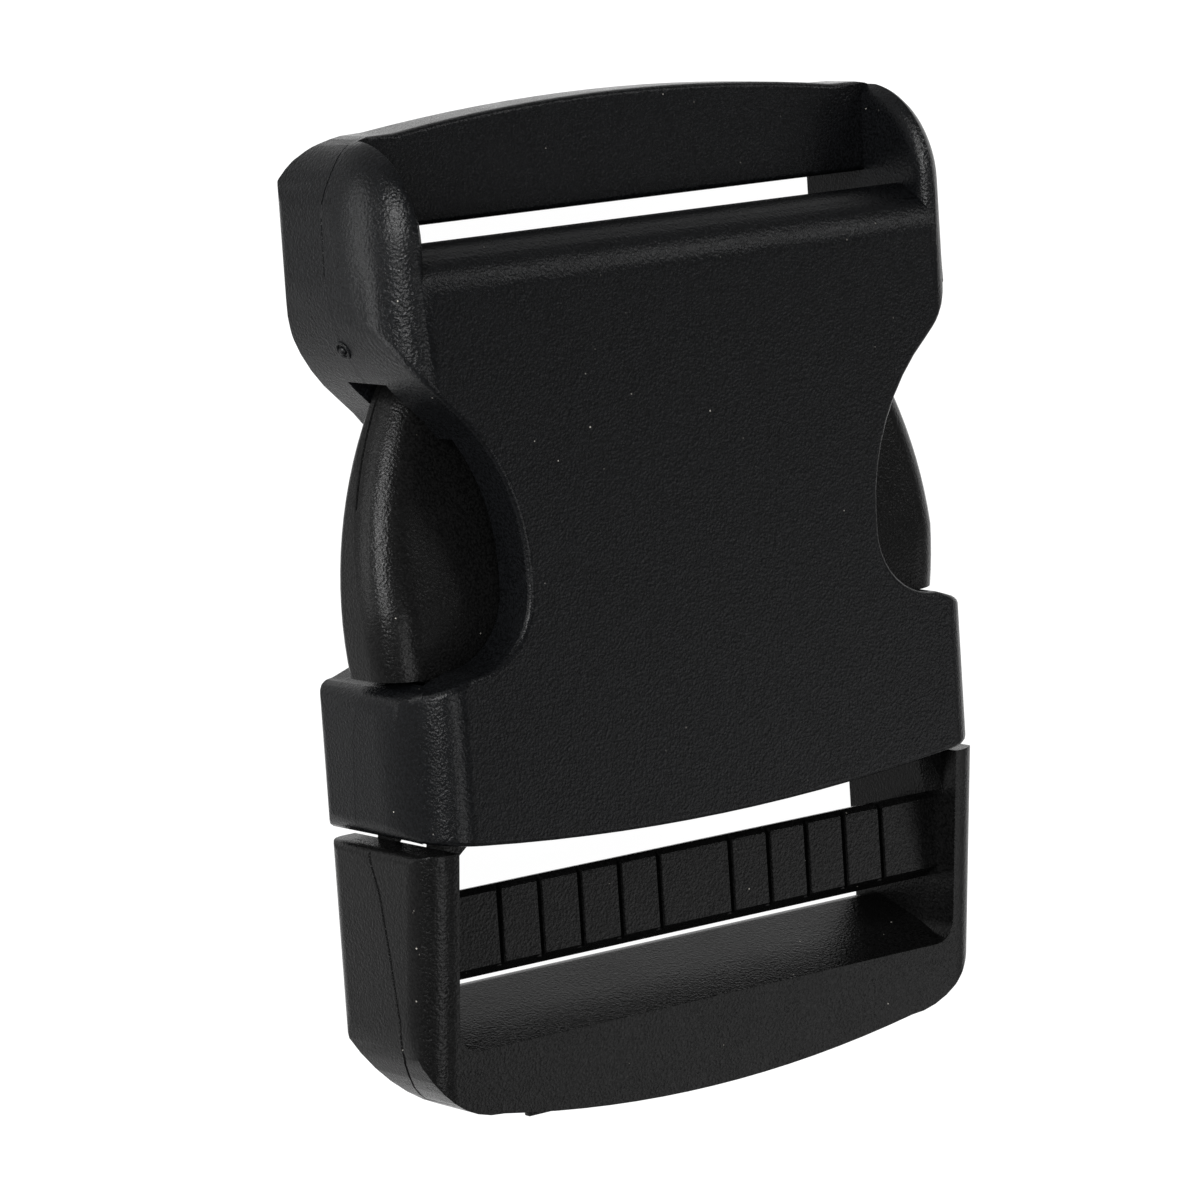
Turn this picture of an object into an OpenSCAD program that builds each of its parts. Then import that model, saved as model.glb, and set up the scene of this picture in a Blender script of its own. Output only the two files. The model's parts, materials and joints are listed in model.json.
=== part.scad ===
// Side release buckle for 50 mm webbing, fastened, lying on its back.
// X runs across the webbing, Y along it towards the sewn strap bar, Z out of the front face.
// Heights along the webbing are measured from the lower end of the plug.

/* [Webbing] */
// Width of the webbing
webbing_w = 50; // [48:0.5:52]
// Play of the sewn webbing across the socket's slot
slot_play = 0.8; // [0.4:0.1:1.2]
// Play of the loose webbing across the plug's opening
opening_play = 2; // [1.5:0.1:2.5]

/* [Overall] */
// Thickness from the back to the front face
thick = 16; // [15.5:0.1:17]
// Wall at each side of the socket's strap slot
cheek_w = 4.1; // [3.8:0.1:4.5]
// Play left between the two pieces
play = 0.3; // [0.2:0.05:0.35]

/* [Socket] */
// Height of the head, from the windows' upper ends to the top
head_h = 23.9; // [23.1:0.1:25]
// Height of the side windows
window_h = 21.6; // [20.5:0.1:23]
// Depth of each side window from the shoulder
window_d = 11.35; // [10.5:0.05:12]
// Height of the collar round the mouth
collar_h = 12.3; // [11.5:0.1:13]
// Depth of the strap bar, back to front
bar_t = 8; // [7:0.1:8.5]
// Height of the strap bar along the webbing, at its middle
bar_h = 9.1; // [8.7:0.1:9.5]
// Height of the slot behind the front plate's nose
slot_h = 4.9; // [4.6:0.1:5.2]
// Thickness of the front plate at the windows
front_t = 4.2; // [3.8:0.1:4.5]
// Thickness of the back plate at the windows
back_t = 4.3; // [3.8:0.1:4.4]
// Front and back wall of the mouth
mouth_t = 3; // [2.8:0.1:3.2]
// Side wall of the mouth
mouth_side = 2.8; // [2.6:0.1:3]

/* [Plug] */
// Front face above the back at the lower end
toe_t = 12; // [11.5:0.1:12.5]
// Slope of the front face, rise per length
face_slope = 0.115; // [0.1:0.005:0.12]
// Height of the lower bar at its front face
toe_h = 7.8; // [7.4:0.1:8.2]
// Height that the lower bar gains down its ramp
ramp_h = 3; // [2.6:0.1:3.4]
// Gap between the lower bar's ridge and the grip bar
lower_gap = 2.2; // [2:0.1:2.6]
// Grip bar's height along the webbing
grip_h = 7.7; // [7.2:0.1:8]
// Gap between the grip bar and the top of the posts
upper_gap = 3.9; // [3.7:0.1:4.3]
// Grip bar's front face above the back
grip_z = 11.4; // [11:0.1:11.6]
// Distance from one grip groove to the next
groove_pitch = 4.08; // [4:0.01:4.15]
// Width of a grip groove
groove_w = 0.5; // [0.4:0.05:0.7]
// Half width between the two groups of grooves
pad_half = 3.75; // [3.5:0.05:4]
// How far the prongs stay inside the shoulders
prong_inset = 0.3; // [0.2:0.05:0.9]

/* [Hidden] */
black = [0.13, 0.13, 0.14];
beyond = 30;

// Plug, frame
frame_inset = 0.3;
post_r = 0.9;
toe_r = 7.6;
toe_sag = 2;
toe_turn = 80;
toe_edge = 9;
toe_fillet = 1.8;
frame_r = 3;
frame_back_r = 2.2;
heel_drop = 1.1;
heel_in = 0.5;
ridge_z = 2.8;
ridge_r = 0.4;
ridge_drop = 0.8;
// Plug, grip bar
grip_t = 6;
grip_bite = 0.5;
grip_edge = 0.5;
grip_foot = 1.2;
grip_foot_z = 2;
grip_fall = 1.3;
groove_depth = 0.7;
groove_count = 5;
// Plug, bar inside the mouth
seam = 0.8;
neck_r = 5;
back_neck_r = 2.4;
web_t = 2.5;
web_root = 1;
cross_rise = 0.7;
cross_h = 5;
// Plug, prongs
catch_rise = 0.6;
prong_rise = 6;
prong_r = 34;
prong_front_r = 3.4;
prong_back_r = 0.9;
arm_gap = 1.5;
arm_w = 5;
arm_root = 1;
pad_hide = 1.35;
pad_rise = 6;
pad_fall = 9;
tip_in = 4.1;
tip_w = 1;
tip_h = 3;
tip_flare = 1.5;
// Plug, tongue in the core
guide_w = 11;
guide_gap = 7;
guide_t = 5.5;
guide_lead = 4;
guide_taper = 2;

// Socket, outline seen from the front
collar_inset = 0.4;
collar_sag = 1.8;
collar_foot_r = 1.6;
collar_top_r = 2;
window_r = 18.5;
notch_run = 1.5;
notch_rise = 1;
shoulder_r = 14;
top_r = 5;
top_sag = 1.5;
top_run = 2;
top_turn = 84;
// Socket, edges seen along the webbing
front_rx = 4.2;
front_rz = 7.6;
back_r = 1.5;
// Socket, rounded back of the strap bar, along the crown of the top
bar_back_r = 5.5;
bar_crest = 0.3;
// Socket, side wall's front edge as it drops to the strap bar
cheek_end = 1.5;
cheek_r = 8.4;
lip_r = 1.8;
// Socket, nose of the front plate at the slot
nose_gap = 1;
nose_r = 4.2;
nose_back = 5;
heel_r = 1.6;
// Socket, inside
wall_t = 3.2;
end_wall = 3;
core_w = 31;
core_wall = 3.2;
shelf_t = 2.7;
ledge = 1;
brow_h = 2.1;
brow_t = 6.3;

// Widths across the webbing
slot_w = webbing_w + slot_play;
opening_w = webbing_w + opening_play;
shoulder_w = slot_w + 2 * cheek_w;
frame_w = shoulder_w - 2 * frame_inset;
collar_w = shoulder_w - 2 * collar_inset;
waist_w = shoulder_w - 2 * window_d;
mouth_w = collar_w - 2 * mouth_side;
web_w = mouth_w - 2 * play;
channel_w = shoulder_w - 2 * wall_t;
prong_x = shoulder_w / 2 - prong_inset;
pad_in = waist_w / 2 - pad_hide;
arm_out = mouth_w / 2 - arm_gap;
arm_in = arm_out - arm_w;

// Heights along the webbing
ridge_y = toe_h + ramp_h;
heel_y = ridge_y - heel_drop;
grip_y = ridge_y + lower_gap;
grip_top = grip_y + grip_h;
post_top = grip_top + upper_gap;
collar_side = post_top + seam;
collar_top = collar_side + collar_h;
window_top = collar_top + window_h;
length = window_top + head_h;
window_y = window_top - window_r * sin(45);
cross_y = collar_side + cross_rise;
cross_top = cross_y + cross_h;
catch_y = collar_top + catch_rise;
prong_y = collar_top + prong_rise;
tip_y = window_top + tip_in;
brow_y = window_top - brow_h;
bar_y = length - bar_h;
slot_y = bar_y - slot_h;
nose_y = bar_y - nose_gap;
chamber_top = slot_y - end_wall;
core_top = chamber_top - core_wall;
mouth_top = collar_top - shelf_t;
guide_top = core_top - guide_gap;
cheek_y = length - cheek_end - cheek_r;

// Points of an arc with its own half widths, from one angle to another
function bow(c, rx, ry, a0, a1, n) =
    [for (i = [0:n]) let (a = a0 + (a1 - a0) * i / n) [c[0] + rx * cos(a), c[1] + ry * sin(a)]];

// Points of a shallow crown: height at the middle, rising by sag at half width w
function crown(w, y, sag, n) = [for (i = [0:n]) let (x = w * i / n) [x, y + sag * x * x / (w * w)]];

function reversed(p) = [for (i = [len(p) - 1:-1:0]) p[i]];

// Closes a right half, listed from bottom to top, with its mirror image
function both(p) = concat(p, [for (q = reversed(p)) if (q[0] > 0) [-q[0], q[1]]]);

// Extrudes a Y-Z outline across the buckle
module across(w) {
    translate([-w / 2, 0, 0]) rotate([90, 0, 90]) linear_extrude(w) children();
}

// Extrudes an X-Z outline along the webbing, from y0 to y1
module along(y0, y1) {
    translate([0, y1, 0]) rotate([90, 0, 0]) linear_extrude(y1 - y0) children();
}

// Moves the lower end of the plug to half the length below the origin
module centred() {
    translate([0, -length / 2, 0]) children();
}

// The socket's outline from the front, right half from the bottom up.
// The window's arc and the shoulder's arc touch where the line between their centres crosses them.
function socket_half() =
    let (
        cw = collar_w / 2,
        sw = shoulder_w / 2,
        notch_r = window_y - notch_run - collar_top - notch_rise,
        notch_c = [waist_w / 2 + notch_r, window_y - notch_run],
        window_c = [waist_w / 2 + window_r, window_y],
        reach = window_r + shoulder_r,
        dx = window_c[0] - (sw - shoulder_r),
        dy = sqrt(reach * reach - dx * dx),
        shoulder_c = [sw - shoulder_r, window_y + dy],
        turn = atan2(dy, dx),
        top_x = sw - top_r
    )
    concat(
        crown(cw - collar_foot_r, collar_side - collar_sag, collar_sag, 8),
        bow([cw - collar_foot_r, collar_side + collar_foot_r], collar_foot_r, collar_foot_r, -90, 0, 4),
        bow([cw - collar_top_r, collar_top - collar_top_r], collar_top_r, collar_top_r, 0, 90, 5),
        bow(notch_c, notch_r, notch_r, 270, 180, 10),
        bow(window_c, window_r, window_r, 180, 180 - turn, 8),
        bow(shoulder_c, shoulder_r, shoulder_r, -turn, 0, 7),
        bow([top_x, length - top_sag - top_r], top_r, top_r, 0, top_turn, 8),
        reversed(crown(top_x - top_run, length, -top_sag, 8))
    );

// A section across the buckle with rounded edges: front corners rx by rz, back corners r
function edge_section(w, t, rx, rz, r) =
    both(concat(
        [[0, 0]],
        bow([w / 2 - r, r], r, r, -90, 0, 6),
        bow([w / 2 - rx, t - rz], rx, rz, 0, 90, 10),
        [[0, t]]
    ));

// Turns a section about the centre of the side walls' front edges, and keeps what lies past it in front
module past_cheek() {
    intersection() {
        translate([-beyond, cheek_y, thick - cheek_r]) cube([2 * beyond, beyond, beyond]);
        translate([0, cheek_y, thick - cheek_r]) rotate([0, 90, 0]) rotate_extrude($fn = 96) children();
    }
}

// The side walls' front edges, which turn down to the strap bar with the same rounding
function rim_half() =
    concat(
        bow([cheek_r - front_rz, shoulder_w / 2 - front_rx], front_rz, front_rx, 0, 90, 10),
        [[0, shoulder_w / 2]]
    );

// What the rounded inner edge of a side wall takes out, across by outward
function lip() =
    let (x = slot_w / 2 + lip_r, over = 1)
    concat(
        [[x - lip_r - over, -lip_r]],
        bow([x, -lip_r], lip_r, lip_r, 180, 90, 6),
        [[x, over], [x - lip_r - over, over]]
    );

module lip_cut() {
    intersection() {
        across(slot_w + 2 * lip_r) polygon(strap_way());
        union() {
            translate([0, 0, thick]) along(collar_top, cheek_y) polygon(lip());
            past_cheek() polygon([for (q = reversed(lip())) [cheek_r + q[1], q[0]]]);
        }
    }
}

// What the strap takes out: the slot behind the nose and the pocket before the bar
function strap_way() =
    concat(
        bow([slot_y - heel_r, heel_r], heel_r, heel_r, -90, 0, 4),
        [[slot_y, nose_back]],
        bow([nose_y - nose_r, thick - nose_r], nose_r, nose_r, 0, 90, 8),
        [[nose_y - nose_r, thick + beyond], [length + beyond, thick + beyond], [length + beyond, bar_t],
            [bar_y, bar_t], [bar_y, -beyond], [slot_y - heel_r, -beyond]]
    );

// The strap bar's thickness, its back rounded along the crown of the top
module bar_block() {
    reach = shoulder_w / 2 - top_r;
    crown_r = (reach * reach + top_sag * top_sag) / (2 * top_sag);
    edge = crown_r + bar_crest;
    translate([0, length - crown_r, 0]) rotate_extrude($fn = 720) polygon(concat(
        [[0, 0]],
        bow([edge - bar_back_r, bar_back_r], bar_back_r, bar_back_r, -90, 0, 6),
        [[edge, bar_t], [0, bar_t]]
    ));
}

module socket() {
    color(black) centred() difference() {
        intersection() {
            linear_extrude(thick) polygon(both(socket_half()));
            union() {
                along(0, window_y)
                    polygon(edge_section(collar_w, thick, front_rx, front_rz, back_r));
                along(window_y, cheek_y)
                    polygon(edge_section(shoulder_w, thick, front_rx, front_rz, back_r));
                past_cheek() polygon(concat([for (q = reversed(rim_half())) [q[0], -q[1]]], rim_half()));
                intersection() {
                    along(cheek_y, length)
                        polygon(edge_section(shoulder_w, thick, front_rx, front_rz, back_r));
                    bar_block();
                }
            }
        }
        across(slot_w) polygon(strap_way());
        lip_cut();
        mirror([1, 0, 0]) lip_cut();
        socket_inside();
    }
}

// The hollow: the mouth, the core between the windows and the channels for the prongs
module socket_inside() {
    inner_z = thick - front_t - back_t;
    mouth_z = thick - 2 * mouth_t;
    translate([-mouth_w / 2, 0, mouth_t]) cube([mouth_w, mouth_top, mouth_z]);
    translate([-core_w / 2, 0, mouth_t]) cube([core_w, core_top, mouth_z]);
    translate([-mouth_w / 2, 0, back_t]) cube([mouth_w, collar_top + ledge, inner_z]);
    translate([-channel_w / 2, collar_top, back_t]) cube([channel_w, brow_y - collar_top, inner_z]);
    translate([-channel_w / 2, collar_top, back_t])
        cube([channel_w, chamber_top - collar_top, thick - brow_t - back_t]);
}

// The plug frame's outline from the front, right half from the bottom up
function frame_half() =
    let (fw = frame_w / 2, corner_x = fw - toe_r)
    concat(
        crown(corner_x, 0, toe_sag, 8),
        bow([corner_x, toe_sag + toe_r], toe_r, toe_r, -toe_turn, 0, 8),
        bow([fw - post_r, post_top - post_r], post_r, post_r, 0, 90, 4),
        [[0, post_top]]
    );

// The frame from the side: sloping front, flat back, and an under side cut back to the heel
function frame_side() =
    [[0, toe_edge], [heel_y, 0], [post_top, 0], [post_top, toe_t + face_slope * post_top],
        [0, toe_t]];

// The strap's way through the plug: the front of the lower bar slopes in to a ridge
function plug_way() =
    [[heel_y + heel_in, -beyond], [heel_y + heel_in, 0], [ridge_y - ridge_r, ridge_z - ridge_r - ridge_drop],
        [ridge_y, ridge_z - ridge_r], [ridge_y, ridge_z + ridge_r], [toe_h, toe_t + face_slope * toe_h],
        [toe_h, thick + beyond], [post_top + beyond, thick + beyond], [post_top + beyond, -beyond]];

// The same opening from the front, with small fillets in its lower corners
function plug_opening() =
    both(concat(
        [[0, toe_h]],
        bow([opening_w / 2 - toe_fillet, toe_h + toe_fillet], toe_fillet, toe_fillet, -90, 0, 5),
        [[opening_w / 2, post_top + beyond], [0, post_top + beyond]]
    ));

module plug_frame() {
    slope_angle = atan(face_slope);
    deep = 1.5 * thick;
    difference() {
        intersection() {
            linear_extrude(thick) polygon(both(frame_half()));
            along(-beyond, post_top + beyond)
                polygon(edge_section(frame_w, deep, frame_r, frame_r, frame_back_r));
            translate([0, 0, toe_t]) rotate([slope_angle, 0, 0]) translate([0, 0, -deep])
                along(-beyond, post_top + beyond)
                    polygon(edge_section(frame_w, deep, frame_r, frame_r, frame_r));
            across(frame_w) polygon(frame_side());
        }
        intersection() {
            across(opening_w) polygon(plug_way());
            translate([0, 0, -beyond]) linear_extrude(thick + 2 * beyond) polygon(plug_opening());
        }
    }
}

// The grip bar from the side, with a bevelled foot
function grip_side() =
    let (back_z = grip_z - grip_t)
    [[grip_y + grip_edge, back_z], [grip_top - grip_fall, back_z], [grip_top, grip_z - grip_edge],
        [grip_top - grip_edge, grip_z], [grip_y + grip_foot, grip_z], [grip_y, grip_z - grip_foot_z],
        [grip_y, back_z + grip_edge]];

module grip_bar() {
    difference() {
        across(opening_w + 2 * grip_bite) polygon(grip_side());
        for (side = [-1, 1], i = [0:groove_count - 1])
            translate([side * (pad_half + i * groove_pitch) - groove_w / 2, grip_y + grip_foot / 2,
                grip_z - groove_depth])
                cube([groove_w, grip_h, groove_depth + beyond]);
    }
}

// A web of the bar inside the mouth, with fillets of radius r down to the posts
module neck_web(z, r) {
    inner_x = opening_w / 2;
    translate([0, 0, z]) linear_extrude(web_t) polygon(both(concat(
        [[0, collar_side]],
        bow([inner_x - r, collar_side - r], r, r, 90, 0, 8),
        [[inner_x + web_root, collar_side - r], [inner_x + web_root, post_top - web_root],
            [web_w / 2, post_top - web_root], [web_w / 2, cross_top], [0, cross_top]]
    )));
}

module mouth_bar() {
    low_z = mouth_t + play;
    high_z = thick - mouth_t - play;
    neck_web(low_z, back_neck_r);
    neck_web(high_z - web_t, neck_r);
    translate([-web_w / 2, cross_y, low_z]) cube([web_w, cross_h, high_z - low_z]);
}

// The right prong: an arm, then a pad with a rounded outer edge, whose front falls to a tip under the brow
module prong() {
    low_z = back_t + play;
    high_z = thick - front_t - play;
    t = high_z - low_z;
    tilt = atan((brow_t - front_t) / (brow_y - play - prong_y));
    turn_x = prong_x - prong_r;
    intersection() {
        translate([turn_x, prong_y, low_z]) rotate_extrude($fn = 96)
            polygon(concat(
                [[0, 0]],
                bow([prong_r - prong_back_r, prong_back_r], prong_back_r, prong_back_r, -90, 0, 5),
                bow([prong_r - prong_front_r, t - prong_front_r], prong_front_r, prong_front_r, 0, 90, 7),
                [[0, t]]
            ));
        translate([turn_x, prong_y, high_z - prong_front_r / cos(tilt)]) rotate([-tilt, 0, 0])
            rotate_extrude($fn = 96) polygon(concat(
                [[0, -t], [prong_r + tip_flare, -t]],
                bow([prong_r - prong_front_r, 0], prong_front_r, prong_front_r, 0, 90, 7),
                [[0, prong_front_r]]
            ));
        linear_extrude(thick) polygon([
            [arm_out, catch_y], [prong_x + beyond, catch_y], [prong_x + beyond, tip_y], [arm_in, tip_y],
            [arm_in - tip_w, tip_y - tip_h], [pad_in, tip_y - pad_fall], [pad_in, catch_y + pad_rise],
            [arm_in, catch_y]
        ]);
    }
    translate([arm_in, cross_top - arm_root, low_z])
        cube([arm_w, catch_y - cross_top + 2 * arm_root, t]);
}

// The flat tongue that guides the plug into the core
module guide() {
    translate([0, 0, (thick - guide_t) / 2]) linear_extrude(guide_t) polygon(both([
        [0, cross_top - arm_root], [guide_w / 2, cross_top - arm_root], [guide_w / 2, guide_top - guide_lead],
        [guide_w / 2 - guide_taper, guide_top], [0, guide_top]
    ]));
}

module plug() {
    color(black) centred() {
        plug_frame();
        grip_bar();
        mouth_bar();
        prong();
        mirror([1, 0, 0]) prong();
        guide();
    }
}

socket();
plug();
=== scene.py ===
"""Looks of a fastened side release buckle for 50 mm webbing, dressed round its CAD frame."""

import json
import logging
import math
from contextlib import contextmanager
from dataclasses import dataclass, field
from enum import Enum
from typing import Callable, Iterator

import bmesh
import bpy
from mathutils import Matrix, Vector

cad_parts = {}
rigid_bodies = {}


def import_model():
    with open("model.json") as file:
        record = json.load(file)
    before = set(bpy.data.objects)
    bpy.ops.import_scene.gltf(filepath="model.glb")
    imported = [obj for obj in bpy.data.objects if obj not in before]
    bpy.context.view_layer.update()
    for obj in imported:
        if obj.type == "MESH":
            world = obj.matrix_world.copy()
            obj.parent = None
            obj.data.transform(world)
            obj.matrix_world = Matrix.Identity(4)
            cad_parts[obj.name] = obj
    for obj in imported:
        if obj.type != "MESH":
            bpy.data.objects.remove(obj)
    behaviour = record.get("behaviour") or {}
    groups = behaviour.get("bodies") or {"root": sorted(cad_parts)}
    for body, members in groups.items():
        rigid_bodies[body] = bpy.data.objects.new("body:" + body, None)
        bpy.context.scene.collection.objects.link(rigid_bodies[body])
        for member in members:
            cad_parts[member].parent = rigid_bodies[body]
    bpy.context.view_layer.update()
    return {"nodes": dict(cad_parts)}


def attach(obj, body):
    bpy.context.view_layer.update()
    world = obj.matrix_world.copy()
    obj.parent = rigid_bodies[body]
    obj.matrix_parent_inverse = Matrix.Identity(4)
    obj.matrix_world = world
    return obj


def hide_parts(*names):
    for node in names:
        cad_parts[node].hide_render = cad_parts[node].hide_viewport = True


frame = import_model()

MM = 0.001
HALF_LENGTH = 41.6
JOIN_LOOSE = 2e-6
FLAT_ANGLE = math.radians(0.4)
SHORTEST_EDGE = 0.07 * MM
JOIN_DOUBLES = 3e-6
THINNEST_FACE = 1e-6
CRISP_ANGLE = math.radians(34)
ROUND_ANGLE = math.radians(50)
LOG = logging.getLogger("buckle")

Place = Callable[[Vector], bool]


class Mark(Enum):
    """What a mould's parting plane leaves on a skin: how far it stands out, in millimetres."""

    RIDGE = 0.025
    GROOVE = -0.26


def spot(x: float, y: float, z: float) -> Vector:
    """Turns millimetres, with y from the plug's lower end, into a point of the frame in metres."""
    return Vector((x, y - HALF_LENGTH, z)) * MM


def height_of(point: Vector) -> float:
    """Gives a point's height along the webbing in millimetres from the plug's lower end."""
    return point.y / MM + HALF_LENGTH


# ---- modelling helpers ----


def activate(piece: bpy.types.Object) -> None:
    """Selects one object alone and makes it active.

    Args:
        piece: The object.
    """
    for other in bpy.context.view_layer.objects:
        other.select_set(False)
    piece.select_set(True)
    bpy.context.view_layer.objects.active = piece


@contextmanager
def editing(piece: bpy.types.Object) -> Iterator[bpy.types.Object]:
    """Opens a piece in edit mode for the length of a with block.

    Args:
        piece: The object to open.

    Yields:
        The same object.
    """
    activate(piece)
    bpy.ops.object.mode_set(mode="EDIT")
    try:
        yield piece
    finally:
        bpy.ops.object.mode_set(mode="OBJECT")


def pick(
    piece: bpy.types.Object,
    edges: Callable[[bmesh.types.BMEdge], bool] | None = None,
    faces: Callable[[bmesh.types.BMFace], bool] | None = None,
    verts: Callable[[bmesh.types.BMVert], bool] | None = None,
) -> int:
    """Selects what passes a test in the open edit mesh, and nothing else.

    Args:
        piece: The object in edit mode.
        edges: Test for edges, or None for none.
        faces: Test for faces, or None for none.
        verts: Test for vertices, or None for none.

    Returns:
        How many elements were picked.
    """
    mesh = bmesh.from_edit_mesh(piece.data)
    for group in (mesh.faces, mesh.edges, mesh.verts):
        for item in group:
            item.select = False
    count = 0
    tests = ((verts, mesh.verts, "VERT"), (edges, mesh.edges, "EDGE"), (faces, mesh.faces, "FACE"))
    for test, group, mode in tests:
        if test is None:
            continue
        bpy.context.tool_settings.mesh_select_mode = (mode == "VERT", mode == "EDGE", mode == "FACE")
        chosen = [item for item in group if test(item)]
        for item in chosen:
            item.select_set(True)
        count += len(chosen)
    bmesh.update_edit_mesh(piece.data)
    return count


def merged_copy(node: str, name: str) -> bpy.types.Object:
    """Copies a CAD node into a new piece with its loose triangles merged into clean faces.

    Args:
        node: The CAD node to copy.
        name: The new piece's name.

    Returns:
        The new piece, at the origin.
    """
    source = frame["nodes"][node]
    mesh = source.data.copy()
    mesh.name = name
    piece = bpy.data.objects.new(name, mesh)
    bpy.context.scene.collection.objects.link(piece)
    mesh.materials.clear()
    activate(piece)
    if mesh.has_custom_normals:
        bpy.ops.mesh.customdata_custom_splitnormals_clear()
    with editing(piece):
        bpy.ops.mesh.select_all(action="SELECT")
        bpy.ops.mesh.remove_doubles(threshold=JOIN_LOOSE)
        bpy.ops.mesh.dissolve_limited(angle_limit=FLAT_ANGLE, use_dissolve_boundaries=False)
        bpy.ops.mesh.remove_doubles(threshold=SHORTEST_EDGE)
    return piece


def soften(
    piece: bpy.types.Object, width: float, steps: int, where: Place, sharper: float = 28.0, clamp: bool = True
) -> int:
    """Rounds the sharp edges of a part of a piece.

    Args:
        piece: The piece.
        width: The rounding's width in millimetres.
        steps: How many faces go round the edge.
        where: Test on both ends of an edge.
        sharper: The least angle between the faces of a sharp edge, in degrees.
        clamp: Whether short neighbours hold the width back.

    Returns:
        How many edges were rounded.
    """
    least = math.radians(sharper)

    def is_sharp(edge: bmesh.types.BMEdge) -> bool:
        """Tells whether an edge is sharp and lies in the part.

        Args:
            edge: The edge.

        Returns:
            True for such an edge.
        """
        if len(edge.link_faces) != 2 or not edge.is_convex or edge.calc_face_angle(0.0) < least:
            return False
        return where(edge.verts[0].co) and where(edge.verts[1].co)

    with editing(piece):
        count = pick(piece, edges=is_sharp)
        if count:
            bpy.ops.mesh.bevel(
                offset=width * MM, segments=steps, profile=0.5, affect="EDGES", clamp_overlap=clamp,
                loop_slide=False, miter_outer="SHARP", miter_inner="SHARP",
            )
    return count


def finish_skin(piece: bpy.types.Object) -> None:
    """Merges what a rounding left double and gives a piece even, smooth shading with crisp steps.

    Args:
        piece: The piece.
    """
    with editing(piece):
        bpy.ops.mesh.select_all(action="SELECT")
        bpy.ops.mesh.remove_doubles(threshold=JOIN_DOUBLES)
        bpy.ops.mesh.dissolve_degenerate(threshold=THINNEST_FACE)
    activate(piece)
    bpy.ops.object.shade_smooth_by_angle(angle=CRISP_ANGLE)
    weighted = piece.modifiers.new("even normals", "WEIGHTED_NORMAL")
    weighted.keep_sharp = True
    bpy.ops.object.modifier_apply(modifier=weighted.name)


@dataclass(frozen=True)
class PartingLine:
    """A fine line along a side wall where the two halves of a mould meet.

    Attributes:
        stations: The line's height above the back at places along the webbing, as pairs (y, z).
        mark: What the line looks like.
        least_x: How far out from the middle plane the wall starts.
        width: The line's width.
        facing: The least sideways part of a wall face's normal.
        overlap: How far a face may pass a station and still count as beside it.
        slack: How near the line a point lies to be on it.
    """

    stations: tuple[tuple[float, float], ...]
    mark: Mark
    least_x: float
    width: float
    facing: float = 0.25
    overlap: float = 0.004
    slack: float = 0.002

    def is_wall(self, face: bmesh.types.BMFace, low: float, high: float) -> bool:
        """Tells whether a face is part of a side wall and reaches between two places along the webbing.

        Args:
            face: The face.
            low: The lower place, in millimetres.
            high: The upper place, in millimetres.

        Returns:
            True for such a face.
        """
        centre = face.calc_center_median()
        if abs(centre.x) < self.least_x * MM or face.normal.x * math.copysign(1.0, centre.x) < self.facing:
            return False
        heights = [height_of(vert.co) for vert in face.verts]
        return max(heights) > low and min(heights) < high

    def cut(self, piece: bpy.types.Object) -> None:
        """Cuts the line into both side walls of a piece.

        Args:
            piece: The piece.
        """
        with editing(piece):
            for y, _ in self.stations:
                pick(piece, faces=lambda f: self.is_wall(f, y - self.overlap, y + self.overlap))
                bpy.ops.mesh.bisect(plane_co=spot(0, y, 0), plane_no=(0, 1, 0))
            for (y0, z0), (y1, z1) in zip(self.stations, self.stations[1:]):
                low, high = min(y0, y1), max(y0, y1)
                pick(piece, faces=lambda f: self.is_wall(f, low + self.overlap, high - self.overlap))
                normal = Vector((0, z0 - z1, y1 - y0)).normalized()
                bpy.ops.mesh.bisect(plane_co=spot(0, y0, z0), plane_no=normal)
            pick(piece, edges=lambda e: all(self.is_on(v.co) for v in e.verts))
            bpy.ops.mesh.bevel(offset=self.width * MM / 2, segments=2, affect="EDGES", clamp_overlap=False)
            for side in (-1, 1):
                pick(piece, verts=lambda v: self.is_on(v.co) and v.co.x * side > 0)
                bpy.ops.transform.translate(value=(side * self.mark.value * MM, 0, 0))

    def is_on(self, point: Vector) -> bool:
        """Tells whether a point of a side wall lies on the line.

        Args:
            point: The point, in metres.

        Returns:
            True for a point on it.
        """
        if abs(point.x) < self.least_x * MM:
            return False
        y, z = height_of(point), point.z / MM
        for (y0, z0), (y1, z1) in zip(self.stations, self.stations[1:]):
            if min(y0, y1) - self.slack <= y <= max(y0, y1) + self.slack:
                return abs(z - z0 - (z1 - z0) * (y - y0) / (y1 - y0)) < self.slack
        return False


def mount(piece: bpy.types.Object, material: bpy.types.Material) -> None:
    """Dresses a piece in its finish, puts it on the body and logs it.

    Args:
        piece: The finished piece.
        material: Its finish.
    """
    piece.data.materials.clear()
    piece.data.materials.append(material)
    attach(piece, "root")
    LOG.info("%s: %d faces", piece.name, len(piece.data.polygons))


# ---- finishes ----


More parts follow.
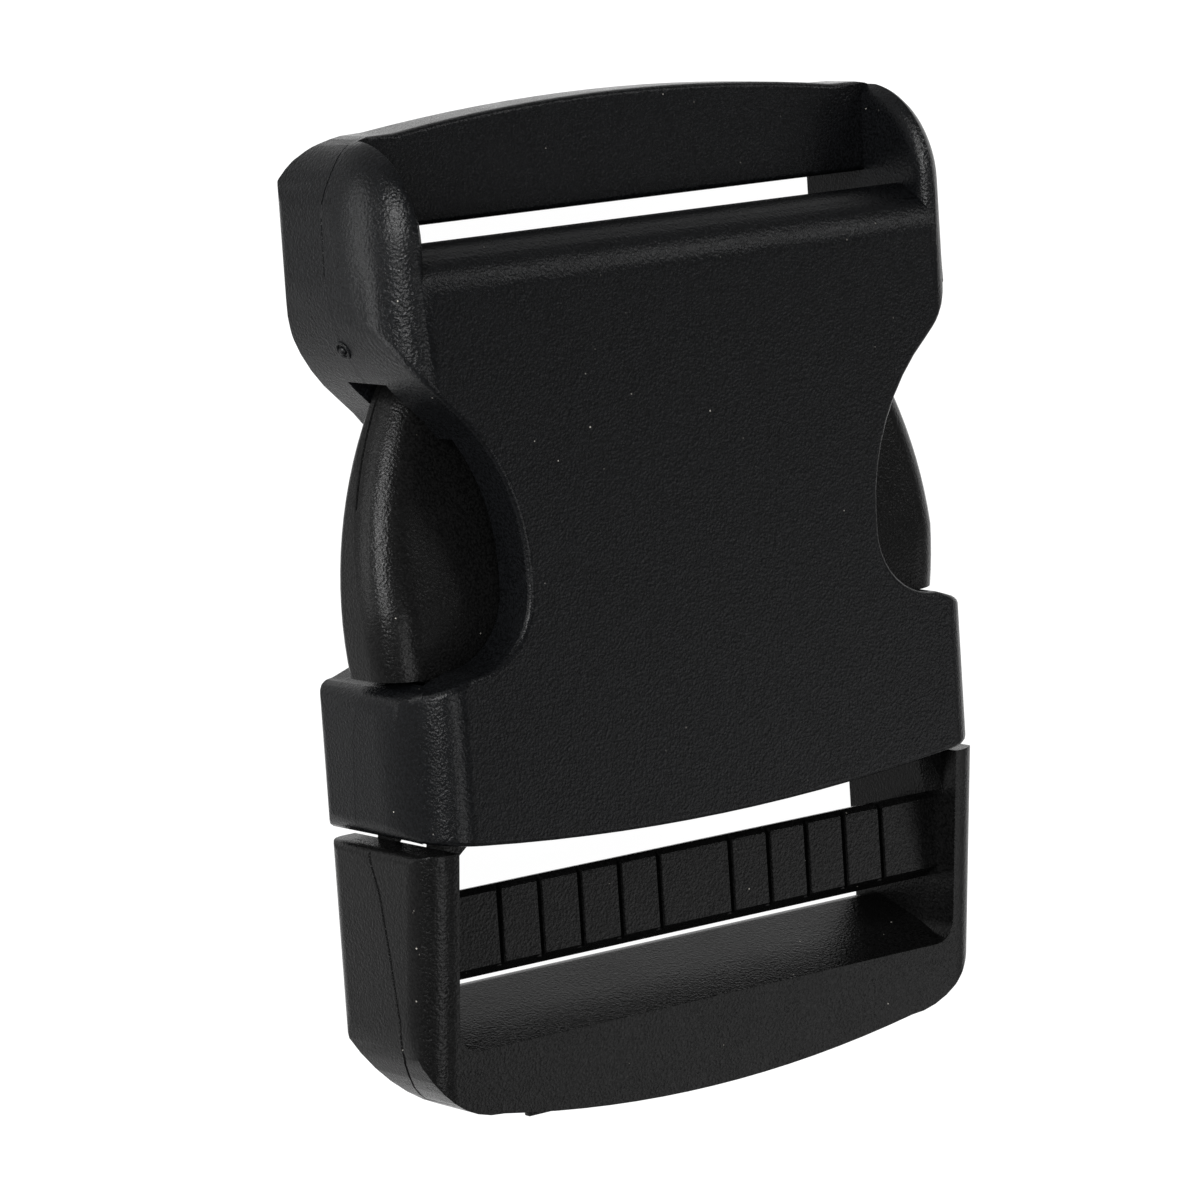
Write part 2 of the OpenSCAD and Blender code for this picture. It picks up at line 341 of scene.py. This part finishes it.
class Graph:
    """A small hand for wiring shader nodes."""

    def __init__(self, tree: bpy.types.NodeTree) -> None:
        """Takes the tree that the nodes go into."""
        self.tree = tree

    def node(self, kind: str, **settings: object) -> bpy.types.Node:
        """Adds a node and sets its options and its unlinked inputs.

        Args:
            kind: The node's type, without its prefix.
            settings: Options by attribute name, or inputs by name with spaces as underscores.

        Returns:
            The new node.
        """
        made = self.tree.nodes.new("ShaderNode" + kind)
        for key, value in settings.items():
            if hasattr(made, key):
                setattr(made, key, value)
            else:
                made.inputs[key.replace("_", " ")].default_value = value
        return made

    def link(self, source: bpy.types.NodeSocket, target: bpy.types.NodeSocket) -> None:
        """Joins an output to an input."""
        self.tree.links.new(source, target)

    def sum(self, kind: str, first: object, second: object, clamp: bool = False) -> bpy.types.NodeSocket:
        """Adds a math node over two values or sockets.

        Args:
            kind: The operation.
            first: The first value or socket.
            second: The second value or socket.
            clamp: Whether the result is held between 0 and 1.

        Returns:
            The node's output.
        """
        made = self.tree.nodes.new("ShaderNodeMath")
        made.operation = kind
        made.use_clamp = clamp
        for socket, value in zip(made.inputs, (first, second)):
            if isinstance(value, bpy.types.NodeSocket):
                self.link(value, socket)
            else:
                socket.default_value = value
        return made.outputs[0]

    def ramp(
        self, value: bpy.types.NodeSocket, low: float, high: float, to_low: float = 0.0, to_high: float = 1.0
    ) -> bpy.types.NodeSocket:
        """Maps a value smoothly from one range to another.

        Args:
            value: The value's socket.
            low: Where the first range starts.
            high: Where the first range ends.
            to_low: Where the second range starts.
            to_high: Where the second range ends.

        Returns:
            The node's output.
        """
        made = self.node("MapRange", interpolation_type="SMOOTHSTEP")
        for index, number in enumerate((low, high, to_low, to_high), start=1):
            made.inputs[index].default_value = number
        self.link(value, made.inputs[0])
        return made.outputs[0]


def new_group(
    name: str, inputs: dict[str, float], outputs: tuple[str, ...]
) -> tuple[bpy.types.NodeTree, Graph]:
    """Opens a shader node group that reads a place on the object.

    Args:
        name: The group's name.
        inputs: Value inputs by name, with their defaults.
        outputs: Names of the value outputs.

    Returns:
        The group and a hand to wire it.
    """
    group = bpy.data.node_groups.new(name, "ShaderNodeTree")
    group.interface.new_socket("Place", in_out="INPUT", socket_type="NodeSocketVector")
    for key, value in inputs.items():
        socket = group.interface.new_socket(key, in_out="INPUT", socket_type="NodeSocketFloat")
        socket.default_value = value
    for key in outputs:
        group.interface.new_socket(key, in_out="OUTPUT", socket_type="NodeSocketFloat")
    return group, Graph(group)


def grain_group() -> bpy.types.NodeTree:
    """Builds the spark-eroded grain that a mould leaves on plastic.

    Returns:
        The group, with the grain's height, its broad mottle and its pits.
    """
    pit_ratio, fine_share, pit_share = 0.9, 0.65, 0.35
    broad_scale, pit_low, pit_high = 260.0, 0.34, 0.66
    group, hand = new_group("spark_grain", {"Scale": 4200.0, "Wave": 0.10}, ("Height", "Mottle", "Pits"))
    start = group.nodes.new("NodeGroupInput")
    end = group.nodes.new("NodeGroupOutput")
    fine = hand.node("TexNoise", Detail=3.0, Roughness=0.62)
    hand.link(start.outputs["Place"], fine.inputs["Vector"])
    hand.link(start.outputs["Scale"], fine.inputs["Scale"])
    pits = hand.node("TexVoronoi")
    hand.link(start.outputs["Place"], pits.inputs["Vector"])
    hand.link(hand.sum("MULTIPLY", start.outputs["Scale"], pit_ratio), pits.inputs["Scale"])
    broad = hand.node("TexNoise", Scale=broad_scale, Detail=3.0, Roughness=0.5)
    hand.link(start.outputs["Place"], broad.inputs["Vector"])
    sharp = hand.sum("MULTIPLY", fine.outputs["Fac"], fine_share)
    both = hand.sum("ADD", sharp, hand.sum("MULTIPLY", pits.outputs["Distance"], pit_share))
    wave = hand.sum("MULTIPLY", broad.outputs["Fac"], start.outputs["Wave"])
    hand.link(hand.sum("ADD", both, wave), end.inputs["Height"])
    hand.link(broad.outputs["Fac"], end.inputs["Mottle"])
    hand.link(hand.ramp(fine.outputs["Fac"], pit_low, pit_high), end.inputs["Pits"])
    return group


def dust_group() -> bpy.types.NodeTree:
    """Builds sparse specks of pale dust.

    Returns:
        The group, with the specks' mask.
    """
    cell_scale, least_draw, full_draw, strongest = 900.0, 0.80, 0.96, 0.8
    smallest, growth = 0.015, 0.06
    group, hand = new_group("dust", {"Amount": 1.0}, ("Mask",))
    start = group.nodes.new("NodeGroupInput")
    end = group.nodes.new("NodeGroupOutput")
    cells = hand.node("TexVoronoi", Scale=cell_scale, Randomness=1.0)
    hand.link(start.outputs["Place"], cells.inputs["Vector"])
    draw = hand.node("SeparateColor")
    hand.link(cells.outputs["Color"], draw.inputs[0])
    rare = hand.ramp(draw.outputs[0], least_draw, full_draw, 0.0, strongest)
    size = hand.sum("MULTIPLY", draw.outputs[1], growth)
    near = hand.sum("LESS_THAN", cells.outputs["Distance"], hand.sum("ADD", size, smallest))
    mask = hand.sum("MULTIPLY", rare, near)
    hand.link(hand.sum("MULTIPLY", mask, start.outputs["Amount"], clamp=True), end.inputs["Mask"])
    return group


def hatching_group() -> bpy.types.NodeTree:
    """Builds the curved cutter marks that a hand-finished mould leaves on a rounding.

    Returns:
        The group, with the marks' height.
    """
    wobble_scale, wobble_reach, fade_in = 700.0, 0.00035, 0.45
    group, hand = new_group("cutter_marks", {"Pitch": 0.00042, "Reach": 0.009}, ("Height",))
    centre = group.interface.new_socket("Centre", in_out="INPUT", socket_type="NodeSocketVector")
    centre.default_value = (0.0, 0.0, 0.0)
    start = group.nodes.new("NodeGroupInput")
    end = group.nodes.new("NodeGroupOutput")
    away = hand.node("VectorMath", operation="DISTANCE")
    hand.link(start.outputs["Place"], away.inputs[0])
    hand.link(start.outputs["Centre"], away.inputs[1])
    wobble = hand.node("TexNoise", Scale=wobble_scale, Detail=2.0)
    hand.link(start.outputs["Place"], wobble.inputs["Vector"])
    shift = hand.sum("MULTIPLY", wobble.outputs["Fac"], wobble_reach)
    bent = hand.sum("ADD", away.outputs["Value"], shift)
    turns = hand.sum("MULTIPLY", hand.sum("DIVIDE", bent, start.outputs["Pitch"]), math.tau)
    waves = hand.sum("SINE", turns, 0.0)
    distance = hand.sum("DIVIDE", away.outputs["Value"], start.outputs["Reach"])
    fade = hand.sum("SUBTRACT", 1.0, distance, clamp=True)
    hand.link(hand.sum("MULTIPLY", waves, hand.ramp(fade, 0.0, fade_in)), end.inputs["Height"])
    return group


@dataclass(frozen=True)
class EffectGroups:
    """The node groups that the finishes share."""

    grain: bpy.types.NodeTree = field(default_factory=grain_group)
    dust: bpy.types.NodeTree = field(default_factory=dust_group)
    hatching: bpy.types.NodeTree = field(default_factory=hatching_group)


@dataclass(frozen=True)
class BlackAcetal:
    """Black moulded acetal with a spark-eroded grain and a soft sheen.

    Attributes:
        name: The material's name.
        colour: The plastic's own colour.
        smoothest: Roughness of the glossiest patches.
        roughest: Roughness of the dullest patches.
        mottle: Range of the broad mottle that the two stand for.
        grain_gloss: How much the grain's pits change the roughness.
        grain_scale: How fine the grain is.
        grain_depth: How deep the grain is, in metres.
        pit_shade: Share of the colour on the grain's dark side.
        top_shade: Share of the colour on its light side.
        dust: How much dust lies on the piece.
        dust_colour: The dust's colour.
        marks_at: Centre of the cutter marks, or None for a piece without them.
        marks_depth: How deep the cutter marks are, in metres.
        marks_strength: How strongly they show.
        gloss: Level of the plain reflection.
        refraction: The plastic's index of refraction.
    """

    name: str
    colour: tuple[float, float, float, float] = (0.0015, 0.0016, 0.0018, 1.0)
    smoothest: float = 0.21
    roughest: float = 0.26
    mottle: tuple[float, float] = (0.32, 0.68)
    grain_gloss: float = 0.10
    grain_scale: float = 4600.0
    grain_depth: float = 0.00006
    pit_shade: float = 0.45
    top_shade: float = 1.8
    dust: float = 0.5
    dust_colour: tuple[float, float, float, float] = (0.42, 0.40, 0.36, 1.0)
    marks_at: Vector | None = None
    marks_depth: float = 0.000012
    marks_strength: float = 0.6
    gloss: float = 0.07
    refraction: float = 1.48

    def material(self, effects: EffectGroups) -> bpy.types.Material:
        """Builds the material.

        Args:
            effects: The shared node groups.

        Returns:
            The finished material.
        """
        made = bpy.data.materials.new(self.name)
        made.use_nodes = True
        tree = made.node_tree
        tree.nodes.clear()
        hand = Graph(tree)
        out = hand.node("OutputMaterial")
        skin = hand.node("BsdfPrincipled")
        place = hand.node("TexCoord").outputs["Object"]
        grain = self.placed(hand, effects.grain, place, Scale=self.grain_scale)
        specks = self.placed(hand, effects.dust, place, Amount=self.dust).outputs["Mask"]
        tint = hand.node("Mix", data_type="RGBA")
        hand.link(self.speckled(hand, grain.outputs["Pits"]), tint.inputs[6])
        tint.inputs[7].default_value = self.dust_colour
        hand.link(specks, tint.inputs[0])
        hand.link(tint.outputs[2], skin.inputs["Base Color"])
        spread = hand.sum("MULTIPLY", hand.sum("SUBTRACT", 0.5, grain.outputs["Pits"]), self.grain_gloss)
        broad = hand.ramp(grain.outputs["Mottle"], *self.mottle, self.smoothest, self.roughest)
        hand.link(hand.sum("MAXIMUM", hand.sum("ADD", broad, spread), specks), skin.inputs["Roughness"])
        bump = hand.node("Bump", Strength=1.0, Distance=self.grain_depth)
        hand.link(grain.outputs["Height"], bump.inputs["Height"])
        normal = bump.outputs["Normal"]
        if self.marks_at is not None:
            hatch = self.placed(hand, effects.hatching, place)
            hatch.inputs["Centre"].default_value = self.marks_at
            cut = hand.node("Bump", Strength=self.marks_strength, Distance=self.marks_depth)
            hand.link(hatch.outputs["Height"], cut.inputs["Height"])
            hand.link(normal, cut.inputs["Normal"])
            normal = cut.outputs["Normal"]
        hand.link(normal, skin.inputs["Normal"])
        skin.inputs["Specular IOR Level"].default_value = self.gloss
        skin.inputs["IOR"].default_value = self.refraction
        hand.link(skin.outputs[0], out.inputs["Surface"])
        return made

    def speckled(self, hand: Graph, pits: bpy.types.NodeSocket) -> bpy.types.NodeSocket:
        """Varies the plastic's colour with the grain.

        Args:
            hand: The hand that wires the material.
            pits: The grain's pits.

        Returns:
            The colour's output.
        """
        shade = hand.node("Mix", data_type="RGBA")
        shade.inputs[6].default_value = tuple(part * self.pit_shade for part in self.colour[:3]) + (1.0,)
        shade.inputs[7].default_value = tuple(part * self.top_shade for part in self.colour[:3]) + (1.0,)
        hand.link(pits, shade.inputs[0])
        return shade.outputs[2]

    @staticmethod
    def placed(
        hand: Graph, group: bpy.types.NodeTree, place: bpy.types.NodeSocket, **values: float
    ) -> bpy.types.Node:
        """Places a shared group in a material with its own values.

        Args:
            hand: The hand that wires the material.
            group: The shared group.
            place: The place on the object that the group reads.
            values: The group's inputs by name.

        Returns:
            The group's node.
        """
        made = hand.tree.nodes.new("ShaderNodeGroup")
        made.node_tree = group
        hand.link(place, made.inputs["Place"])
        for key, value in values.items():
            made.inputs[key].default_value = value
        return made


# ---- the two mouldings ----


@dataclass
class Socket:
    """The upper moulding, with its strap bar, windows and collar.

    Sizes are in millimetres, and heights are measured from the plug's lower end.

    Attributes:
        material: The finish.
        front_z: The front face above the back.
        bar_z: The strap bar's front face above the back.
        bar_y: The strap bar's lower edge.
        window_round: Rounding of the windows' front edges.
        rim_round: Rounding of the collar's lower edge.
        bar_round: Rounding of the strap bar's front edges.
        back_round: Rounding round the back.
        window_x: How far out the windows' edges lie.
        window_y: How high they lie.
        window_depth: How far behind the front face they reach.
        rim_top: Height that the collar's lower edge stays under.
        rim_depth: How far behind the front face it reaches.
        bar_x: Half the length of the strap bar's free edges.
        dome_y: Height of the middle of a side wall's dome.
        dome_core: Flat part of the dome.
        dome_tip: Bluntness of its tip.
        dome_rise: Reach of its curve.
        dome_x: How far out the curve starts.
        dome_bulge: How far the curve stands out.
        ledge_x: Where the ledge beside the dome starts, from the middle plane.
        ledge_start: How far above the dome's middle it starts.
        ledge_end: Height where it ends.
        ledge_join: Distance under which its corners are merged.
        side_line: Parting line on the side walls.
        dome_line: Parting line on the domes.
        collar_line: Parting line on the collar.
        nub_at: Place near the gate nub.
        nub_r: Radius of the nub's ring.
    """

    material: bpy.types.Material
    front_z: float = 16.0
    bar_z: float = 8.0
    bar_y: float = 74.1
    window_round: float = 0.5
    rim_round: float = 0.45
    bar_round: float = 0.5
    back_round: float = 0.3
    window_x: tuple[float, float] = (12.0, 29.6)
    window_y: tuple[float, float] = (37.2, 68.5)
    window_depth: float = 3.6
    rim_top: float = 26.4
    rim_depth: float = 7.0
    bar_x: float = 25.6
    dome_y: float = 73.3
    dome_core: float = 0.8
    dome_tip: float = 0.4
    dome_rise: float = 7.6
    dome_x: float = 25.3
    dome_bulge: float = 4.2
    ledge_x: float = 26.2
    ledge_start: float = 0.6
    ledge_end: float = 81.6
    ledge_join: float = 0.12
    side_line: PartingLine = PartingLine(((61.5, 6.8), (75.6, 6.8)), Mark.RIDGE, 25.9, width=0.16)
    dome_line: PartingLine = PartingLine(
        ((75.6, 6.8), (76.8, 6.9), (78.0, 7.15), (79.2, 7.4), (81.3, 7.5)),
        Mark.GROOVE, 25.9, width=0.12, facing=0.12,
    )
    nub_at: tuple[float, float, float] = (-28.1, 64.9, 6.7)
    nub_r: float = 0.7
    collar_line: PartingLine = PartingLine(
        ((25.2, 4.7), (33.4, 5.3), (37.6, 6.6)), Mark.RIDGE, 26.0, width=0.14
    )

    def close_ledge(self, piece: bpy.types.Object) -> None:
        """Draws the strap bar's front corners in to the domes of the side walls.

        Args:
            piece: The socket's skin.
        """

        def on_ledge(vert: bmesh.types.BMVert) -> bool:
            """Tells whether a vertex lies on the narrow ledge beside a dome.

            Args:
                vert: The vertex.

            Returns:
                True for a vertex on it.
            """
            x, y, z = abs(vert.co.x) / MM, height_of(vert.co), vert.co.z / MM
            beside = x > self.ledge_x and self.dome_y + self.ledge_start < y < self.ledge_end
            return beside and abs(z - self.bar_z) < 0.02

        with editing(piece):
            pick(piece, verts=on_ledge)
            mesh = bmesh.from_edit_mesh(piece.data)
            for vert in mesh.verts:
                if vert.select:
                    reach = math.hypot(height_of(vert.co) - self.dome_y, self.dome_tip)
                    part = min(1.0, max(0.0, (reach - self.dome_core) / self.dome_rise))
                    limit = (self.dome_x + self.dome_bulge * math.sqrt(1.0 - part * part)) * MM
                    if abs(vert.co.x) > limit:
                        vert.co.x = math.copysign(limit, vert.co.x)
            bmesh.update_edit_mesh(piece.data)
            bpy.ops.mesh.remove_doubles(threshold=self.ledge_join * MM)

    def on_window(self, point: Vector) -> bool:
        """Tells whether a point lies on a window's front edge.

        Args:
            point: The point, in metres.

        Returns:
            True for a point on it.
        """
        x, y, z = abs(point.x) / MM, height_of(point), point.z / MM
        inside = self.window_x[0] < x < self.window_x[1] and self.window_y[0] < y < self.window_y[1]
        return inside and z > self.front_z - self.window_depth

    def on_rim(self, point: Vector) -> bool:
        """Tells whether a point lies on the collar's lower front edge."""
        return height_of(point) < self.rim_top and point.z / MM > self.front_z - self.rim_depth

    def on_bar(self, point: Vector) -> bool:
        """Tells whether a point lies on the strap bar's long front edges."""
        x, y, z = abs(point.x) / MM, height_of(point), point.z / MM
        return x < self.bar_x and y > self.bar_y - 0.1 and abs(z - self.bar_z) < 0.05

    def body(self) -> bpy.types.Object:
        """Shapes the moulding's skin from its CAD form.

        Returns:
            The skin, which replaces the CAD node.
        """
        piece = merged_copy("socket", "socket_body")
        self.close_ledge(piece)
        counts = (
            soften(piece, self.window_round, 3, self.on_window, clamp=False),
            soften(piece, self.rim_round, 3, self.on_rim, clamp=False),
            soften(piece, self.bar_round, 3, self.on_bar, clamp=False),
            soften(piece, self.back_round, 2, lambda p: p.z < 0.02 * MM),
        )
        LOG.info("socket: %s edges rounded", counts)
        for line in (self.side_line, self.dome_line, self.collar_line):
            line.cut(piece)
        finish_skin(piece)
        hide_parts("socket")
        return piece

    def gate_nub(self, body: bpy.types.Object) -> bpy.types.Object:
        """Sets the small torn-off gate, in its ring, on the left side wall.

        Args:
            body: The socket's skin.

        Returns:
            The ring and its stub, as one piece.
        """
        _, place, normal, _ = body.closest_point_on_mesh(spot(*self.nub_at))
        turn = normal.to_track_quat("Z", "Y").to_euler()
        bpy.ops.mesh.primitive_torus_add(
            location=place, rotation=turn, major_segments=36, minor_segments=10,
            major_radius=self.nub_r * MM, minor_radius=self.nub_r * 0.22 * MM,
        )
        ring = bpy.context.view_layer.objects.active
        bpy.ops.mesh.primitive_uv_sphere_add(
            segments=20, ring_count=10, location=place, radius=self.nub_r * 0.55 * MM
        )
        stub = bpy.context.view_layer.objects.active
        activate(ring)
        stub.select_set(True)
        bpy.ops.object.join()
        bpy.ops.object.transform_apply(location=True, rotation=True, scale=True)
        bpy.ops.object.shade_smooth_by_angle(angle=ROUND_ANGLE)
        ring.name = ring.data.name = "socket_gate_nub"
        return ring

    def build(self) -> None:
        """Builds and dresses every piece of the socket."""
        body = self.body()
        for piece in (body, self.gate_nub(body)):
            mount(piece, self.material)


@dataclass
class Plug:
    """The lower moulding, with its frame, grip bar and prongs.

    Sizes are in millimetres, and heights are measured from the plug's lower end.

    Attributes:
        material: The finish.
        outer_round: Rounding of the frame's edges.
        groove_round: Rounding of the grip grooves' edges.
        frame_top: Height that the frame stays under.
        grip_x: Half the length of the ribbed front.
        grip_y: Heights where the ribbed front starts and ends.
        grip_z: Least height of the ribbed front above the back.
        frame_line: Parting line on the frame's sides.
        stub_at: Middle of the cut gate.
        stub_size: The cut gate's size.
        stub_round: Rounding of its edges.
        prong_line: Parting line on the prongs.
    """

    material: bpy.types.Material
    outer_round: float = 0.3
    groove_round: float = 0.08
    frame_top: float = 24.6
    grip_x: float = 21.5
    grip_y: tuple[float, float] = (12.5, 21.0)
    grip_z: float = 9.0
    frame_line: PartingLine = PartingLine(
        ((24.2, 6.5), (20.9, 7.7), (16.9, 8.4), (10.5, 9.3), (7.5, 9.1), (5.6, 8.5), (3.4, 7.3)),
        Mark.GROOVE, 24.5, width=0.3,
    )
    stub_at: tuple[float, float, float] = (-17.85, 1.95, 11.75)
    stub_size: tuple[float, float, float] = (2.5, 1.5, 0.7)
    stub_round: float = 0.1
    prong_line: PartingLine = PartingLine(((44.2, 7.85), (62.6, 5.46)), Mark.GROOVE, 23.0, width=0.28)

    def body(self) -> bpy.types.Object:
        """Shapes the moulding's skin from its CAD form.

        Returns:
            The skin, which replaces the CAD node.
        """
        piece = merged_copy("plug", "plug_body")

        def in_grooves(point: Vector) -> bool:
            """Tells whether a point lies on the grip bar's ribbed front."""
            across = abs(point.x) < self.grip_x * MM and point.z > self.grip_z * MM
            return across and self.grip_y[0] < height_of(point) < self.grip_y[1]

        def on_frame(point: Vector) -> bool:
            """Tells whether a point lies on the frame, away from the ribbed front."""
            return height_of(point) < self.frame_top and not in_grooves(point)

        count = soften(piece, self.groove_round, 2, in_grooves)
        LOG.info("plug: %d groove edges rounded", count)
        count = soften(piece, self.outer_round, 3, on_frame)
        LOG.info("plug: %d frame edges rounded", count)
        self.frame_line.cut(piece)
        self.prong_line.cut(piece)
        finish_skin(piece)
        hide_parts("plug")
        return piece

    def gate_stub(self) -> bpy.types.Object:
        """Leaves the small tab of a cut gate on the lower bar's front edge.

        Returns:
            The tab.
        """
        bpy.ops.mesh.primitive_cube_add(size=MM, location=spot(*self.stub_at))
        stub = bpy.context.view_layer.objects.active
        stub.name = stub.data.name = "plug_gate_stub"
        with editing(stub):
            bpy.ops.mesh.select_all(action="SELECT")
            bpy.ops.transform.resize(value=self.stub_size)
            bpy.ops.mesh.bevel(offset=self.stub_round * MM, segments=2, affect="EDGES")
        bpy.ops.object.transform_apply(location=True, rotation=True, scale=True)
        bpy.ops.object.shade_smooth_by_angle(angle=CRISP_ANGLE)
        return stub

    def build(self) -> None:
        """Builds and dresses every piece of the plug."""
        for piece in (self.body(), self.gate_stub()):
            mount(piece, self.material)


# ---- studio ----


def area_light(name: str, size: tuple[float, float], power: float) -> bpy.types.Object:
    """Adds a rectangular area light to the scene.

    Args:
        name: The light's name.
        size: Its two sides in metres.
        power: Its power in watts.

    Returns:
        The light, at the origin.
    """
    lamp = bpy.data.lights.new(name, "AREA")
    lamp.shape = "RECTANGLE"
    lamp.size, lamp.size_y = size
    lamp.energy = power
    made = bpy.data.objects.new(name, lamp)
    bpy.context.scene.collection.objects.link(made)
    return made


@dataclass(frozen=True)
class Softbox:
    """A rectangular studio light that looks at the buckle.

    Attributes:
        name: The light's name.
        towards: Direction from the buckle to the light.
        distance: Distance from the buckle, in metres.
        size: The light's two sides, in metres.
        power: Its power, in watts.
    """

    name: str
    towards: tuple[float, float, float]
    distance: float
    size: tuple[float, float]
    power: float

    def build(self) -> None:
        """Hangs the light and turns it to the buckle."""
        made = area_light(self.name, self.size, self.power)
        way = Vector(self.towards).normalized()
        turn = way.to_track_quat("Z", "Y").to_matrix().to_4x4()
        made.matrix_world = Matrix.Translation(way * self.distance) @ turn


@dataclass(frozen=True)
class TableStrip:
    """A narrow light that lies on the table beside the buckle, out of sight, and shines upwards.

    Attributes:
        name: The light's name.
        centre: Its middle, in millimetres.
        size: Its two sides, in millimetres.
        power: Its power, in watts.
    """

    name: str
    centre: tuple[float, float, float]
    size: tuple[float, float]
    power: float

    def build(self) -> None:
        """Lays the light down."""
        made = area_light(self.name, (self.size[0] * MM, self.size[1] * MM), self.power)
        made.location = spot(*self.centre)
        made.rotation_euler = (math.pi, 0.0, 0.0)
        made.visible_camera = False


@dataclass(frozen=True)
class Studio:
    """A plain pale floor, soft lights and the camera at the photograph's angle.

    Attributes:
        lens: The camera's focal length.
        sensor: Width of its sensor.
        eye: Its place, in millimetres.
        right: Direction to the picture's right.
        up: Direction to the picture's top.
        back: Direction from the buckle to the camera.
        world: Strength of the sky.
        floor_size: The floor's side, in metres.
        floor_drop: How far the floor lies under the buckle, in millimetres.
        floor_shade: The floor's own grey.
        floor_roughness: How dull the floor is.
        floor_gloss: Level of its plain reflection.
        floor_glow: Light that it gives off.
        lights: The lights.
    """

    lens: float = 166.15
    sensor: float = 36.0
    eye: tuple[float, float, float] = (-272.282, 67.898, 372.206)
    right: tuple[float, float, float] = (0.798919, -0.066754, 0.597722)
    up: tuple[float, float, float] = (0.142145, 0.986623, -0.079805)
    back: tuple[float, float, float] = (-0.584400, 0.148721, 0.797721)
    world: float = 0.45
    floor_size: float = 6.0
    floor_drop: float = 0.03
    floor_shade: float = 0.12
    floor_roughness: float = 0.9
    floor_gloss: float = 0.1
    floor_glow: float = 0.99
    lights: tuple[Softbox | TableStrip, ...] = (
        Softbox("overhead_softbox", (-0.30, -0.27, 0.91), 0.95, (0.35, 0.30), 4.4),
        Softbox("left_softbox", (-0.86, 0.32, 0.42), 0.9, (0.62, 0.10), 19.0),
        TableStrip("left_table_strip", (-53.0, 67.0, 0.6), (18.0, 50.0), 0.031),
        Softbox("nose_softbox", (0.58, 0.45, 0.68), 0.9, (0.35, 0.20), 2.6),
        Softbox("lower_right_softbox", (0.66, -0.40, 0.66), 0.9, (0.5, 0.4), 2.2),
    )

    def floor(self) -> None:
        """Lays the pale floor under the buckle."""
        bpy.ops.mesh.primitive_plane_add(size=self.floor_size, location=(0, 0, -self.floor_drop * MM))
        plane = bpy.context.view_layer.objects.active
        plane.name = "floor"
        with editing(plane):
            bpy.ops.mesh.select_all(action="SELECT")
            bpy.ops.mesh.subdivide(number_cuts=3)
        paint = bpy.data.materials.new("pale_floor")
        paint.use_nodes = True
        skin = paint.node_tree.nodes["Principled BSDF"]
        skin.inputs["Base Color"].default_value = (self.floor_shade,) * 3 + (1.0,)
        skin.inputs["Roughness"].default_value = self.floor_roughness
        skin.inputs["Specular IOR Level"].default_value = self.floor_gloss
        skin.inputs["Emission Color"].default_value = (1.0, 1.0, 1.0, 1.0)
        skin.inputs["Emission Strength"].default_value = self.floor_glow
        plane.data.materials.append(paint)

    def camera(self) -> None:
        """Sets the camera at the photograph's place and lens."""
        lens = bpy.data.cameras.new("camera")
        lens.lens = self.lens
        lens.sensor_width = self.sensor
        lens.clip_start = 0.01
        made = bpy.data.objects.new("camera", lens)
        bpy.context.scene.collection.objects.link(made)
        turn = Matrix((self.right, self.up, self.back)).transposed().to_4x4()
        made.matrix_world = Matrix.Translation(Vector(self.eye) * MM) @ turn
        bpy.context.scene.camera = made

    def build(self) -> None:
        """Sets up the floor, the lights, the sky and the camera."""
        self.floor()
        for lamp in self.lights:
            lamp.build()
        sky = bpy.data.worlds.new("studio")
        sky.use_nodes = True
        light = sky.node_tree.nodes["Background"]
        light.inputs["Color"].default_value = (1.0, 1.0, 1.0, 1.0)
        light.inputs["Strength"].default_value = self.world
        bpy.context.scene.world = sky
        bpy.context.scene.view_settings.view_transform = "Standard"
        self.camera()


def main() -> None:
    """Builds the studio and both mouldings in order."""
    logging.basicConfig(level=logging.INFO, format="%(name)s: %(message)s")
    Studio().build()
    effects = EffectGroups()
    Socket(BlackAcetal("socket_acetal", marks_at=spot(-33.0, 66.0, 15.0)).material(effects)).build()
    Plug(BlackAcetal("plug_acetal", colour=(0.0017, 0.0017, 0.0017, 1.0)).material(effects)).build()


if __name__ == "__main__":
    main()
